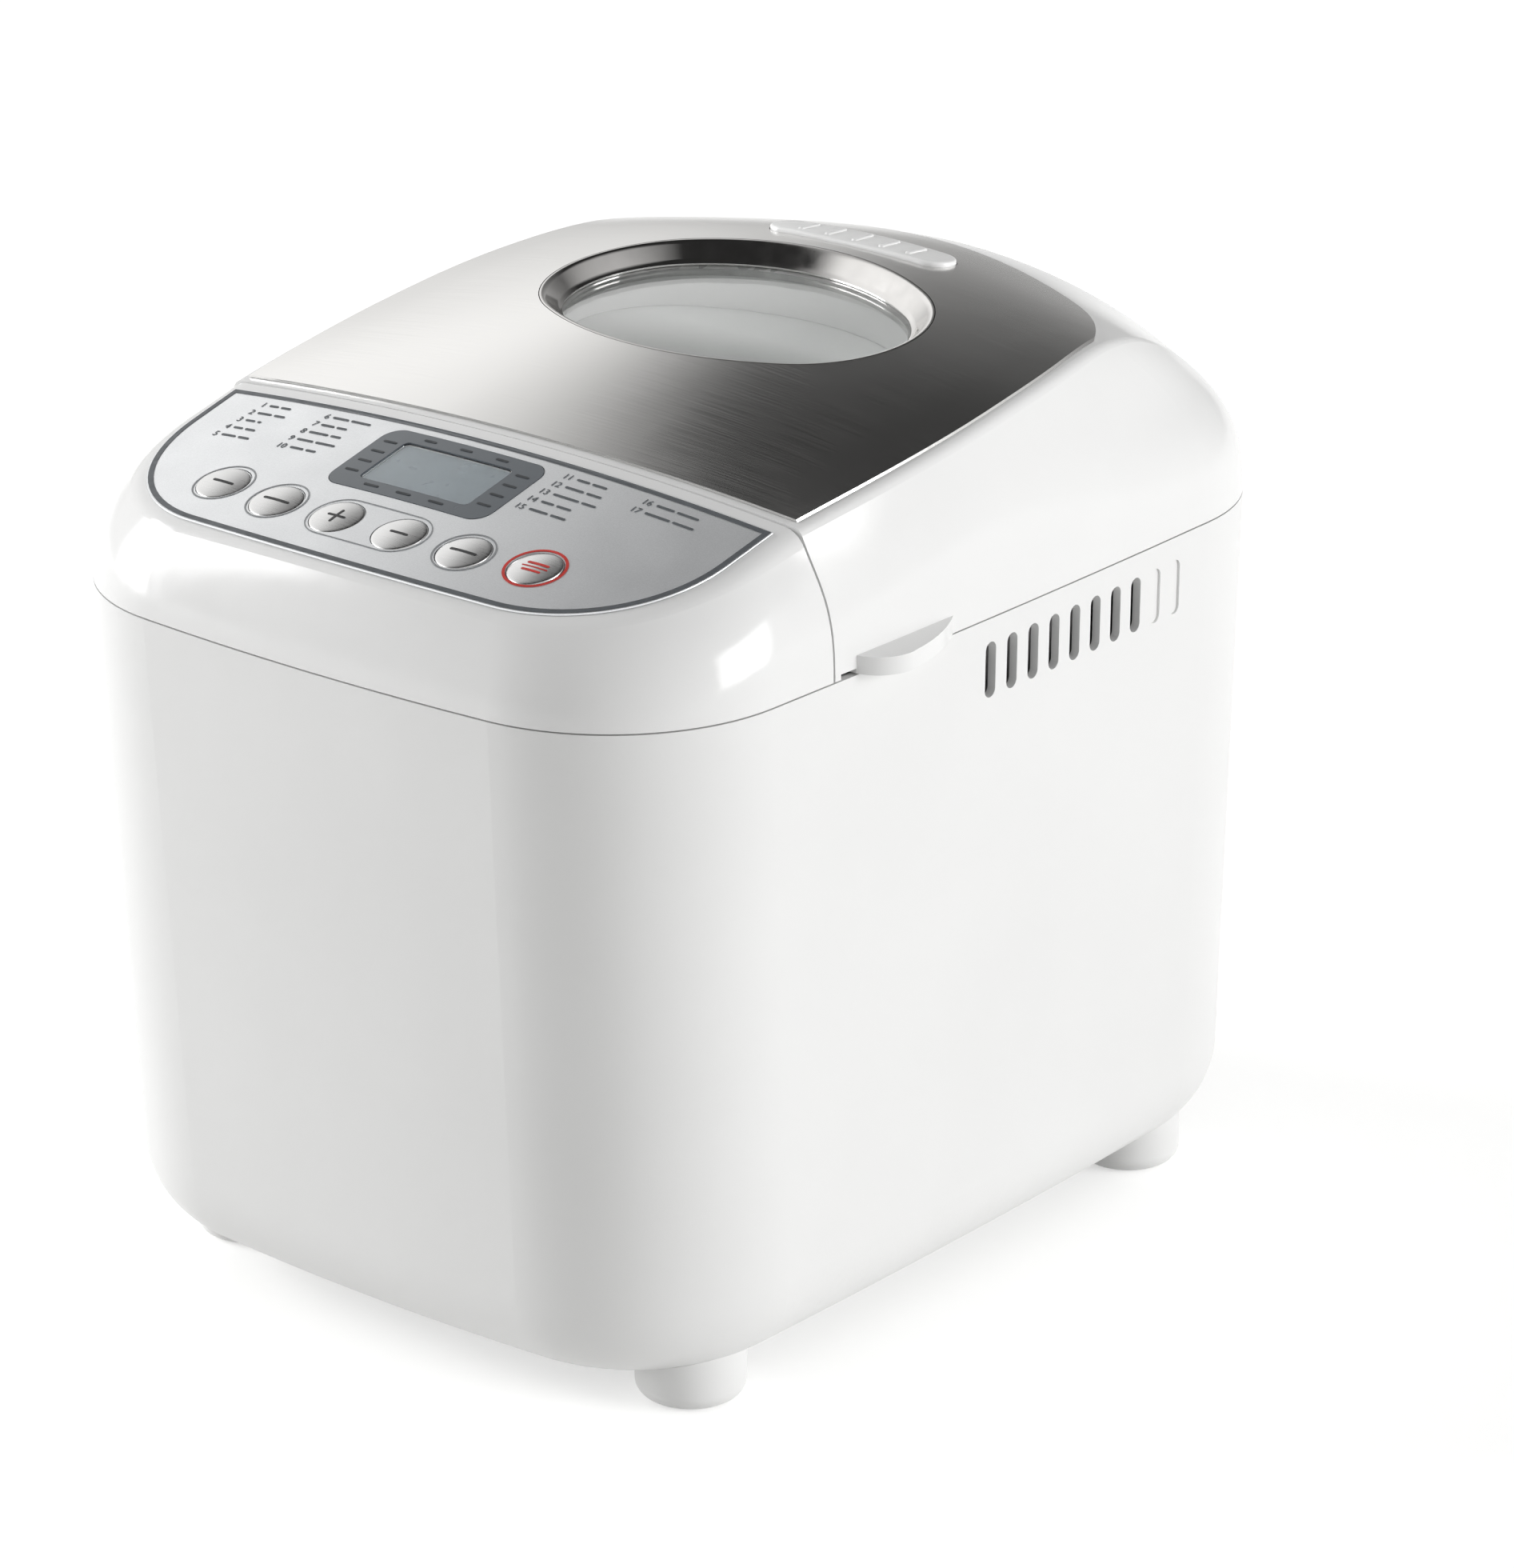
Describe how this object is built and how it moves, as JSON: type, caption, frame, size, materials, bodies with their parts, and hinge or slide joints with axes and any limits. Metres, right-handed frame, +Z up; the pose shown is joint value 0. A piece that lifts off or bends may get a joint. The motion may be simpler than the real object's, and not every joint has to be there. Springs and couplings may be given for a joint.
{
  "type": "bread machine",
  "caption": "Countertop bread maker: rounded white tub, domed steel lid with oval window and rear hinge, sloping key panel with display, belt-driven paddle in a loaf pan.",
  "frame": {"origin": "on the floor, under the middle of the machine's overall box", "axes": "+Z up, -Y out of the control panel's front, +X to the right of someone facing the panel"},
  "size_m": [0.2676, 0.36, 0.296],
  "materials": {
    "tub_white": "satin",
    "base_grey": "satin",
    "foot_white": "satin",
    "screw_steel": "plain",
    "cover_white": "gloss",
    "overlay_silver": "silver print",
    "display_dark": "gloss",
    "display_clear": "clear",
    "display_screen": "matte",
    "circuit_board": "matte",
    "switch_black": "matte",
    "deck_white": "satin",
    "oven_steel": "satin",
    "sensor_steel": "plain",
    "heater_steel": "dull",
    "bushing_ceramic": "ceramic",
    "chassis_steel": "zinc plated",
    "transformer_iron": "varnished",
    "ribbon_grey": "matte",
    "motor_steel": "satin",
    "shaft_steel": "ground",
    "pulley_plastic": "matte",
    "belt_rubber": "matte",
    "bearing_brass": "sintered",
    "coupling_zinc": "cast",
    "pan_coating": "non-stick coated",
    "pan_zinc": "cast",
    "handle_steel": "bright",
    "lid_white": "gloss",
    "lid_steel": "brushed",
    "bezel_polished": "polished",
    "window_glass": "clear",
    "gasket_rubber": "matte",
    "liner_metal": "satin",
    "seal_rubber": "silicone",
    "vent_white": "gloss",
    "hinge_white": "gloss",
    "gland_black": "matte",
    "button_silver": "metallised"
  },
  "bodies": {
    "housing": {"body_housing": "tub_white", "base_plate": "base_grey", "foot_front_left": "foot_white", "foot_front_right": "foot_white", "foot_rear_left": "foot_white", "foot_rear_right": "foot_white", "case_screws": "screw_steel", "front_cover": "cover_white", "control_overlay": "overlay_silver", "display_frame": "display_dark", "display_lens": "display_clear", "display_module": "display_screen", "control_board": "circuit_board", "board_screws": "screw_steel", "key_switches": "switch_black", "chamber_deck": "deck_white", "oven_chamber": "oven_steel", "temperature_sensor": "sensor_steel", "heating_element": "heater_steel", "heater_bushings": "bushing_ceramic", "chassis_plate": "chassis_steel", "power_board": "circuit_board", "power_transformer": "transformer_iron", "ribbon_cable": "ribbon_grey", "motor_bracket": "chassis_steel", "motor_case": "motor_steel", "drive_belt": "belt_rubber", "drive_bearing": "bearing_brass", "bread_pan": "pan_coating", "pan_base": "pan_zinc", "pan_seat": "oven_steel", "handle_pivots": "pan_zinc", "hinge_base": "hinge_white", "hinge_pins": "shaft_steel", "cord_gland": "gland_black"},
    "lid": {"lid_shell": "lid_white", "steel_cover": "lid_steel", "window_bezel": "bezel_polished", "outer_glass": "window_glass", "glass_gasket": "gasket_rubber", "inner_glass": "window_glass", "lid_liner": "liner_metal", "lid_seal": "seal_rubber", "lid_screws": "screw_steel", "vent_cap": "vent_white", "lid_hinge_arms": "hinge_white"},
    "pan_bail": {"pan_handle": "handle_steel"},
    "drive": {"kneading_paddle": "pan_coating", "pan_shaft": "shaft_steel", "drive_coupling": "coupling_zinc", "drive_shaft": "shaft_steel", "driven_pulley": "pulley_plastic"},
    "rotor": {"motor_rotor": "shaft_steel", "motor_pulley": "pulley_plastic"},
    "menu_key": {"menu_button": "button_silver"},
    "weight_key": {"weight_button": "button_silver"},
    "plus_key": {"plus_button": "button_silver"},
    "minus_key": {"minus_button": "button_silver"},
    "colour_key": {"colour_button": "button_silver"},
    "start_key": {"start_button": "button_silver"}
  },
  "joints": [
    {"name": "lid_hinge", "type": "hinge", "parent": "housing", "child": "lid", "pos_m": [0, 0.168, 0.222], "axis": [-1, 0, 0], "range_deg": [0, 90]},
    {"name": "handle_swing", "type": "hinge", "parent": "housing", "child": "pan_bail", "pos_m": [0, 0.0259, 0.213], "axis": [1, 0, 0], "range_deg": [0, 180]},
    {"name": "motor_spin", "type": "hinge", "parent": "housing", "child": "rotor", "pos_m": [0, -0.118, 0.1], "axis": [0, 0, 1], "continuous": true},
    {"name": "drive_spin", "type": "hinge", "parent": "housing", "child": "drive", "pos_m": [0, 0.0259, 0.06], "axis": [0, 0, 1], "continuous": true},
    {"name": "menu_press", "type": "slide", "parent": "housing", "child": "menu_key", "axis": [0, 0.238, -0.9713], "range_m": [0, 0.0008], "stiffness_N_per_m": 1500},
    {"name": "weight_press", "type": "slide", "parent": "housing", "child": "weight_key", "axis": [0, 0.238, -0.9713], "range_m": [0, 0.0008], "stiffness_N_per_m": 1500},
    {"name": "plus_press", "type": "slide", "parent": "housing", "child": "plus_key", "axis": [0, 0.238, -0.9713], "range_m": [0, 0.0008], "stiffness_N_per_m": 1500},
    {"name": "minus_press", "type": "slide", "parent": "housing", "child": "minus_key", "axis": [0, 0.238, -0.9713], "range_m": [0, 0.0008], "stiffness_N_per_m": 1500},
    {"name": "colour_press", "type": "slide", "parent": "housing", "child": "colour_key", "axis": [0, 0.238, -0.9713], "range_m": [0, 0.0008], "stiffness_N_per_m": 1500},
    {"name": "start_press", "type": "slide", "parent": "housing", "child": "start_key", "axis": [0, 0.238, -0.9713], "range_m": [0, 0.0008], "stiffness_N_per_m": 1500}
  ],
  "couplings": [
    {"joint": "drive_spin", "follows": "motor_spin", "ratio": 0.2}
  ]
}
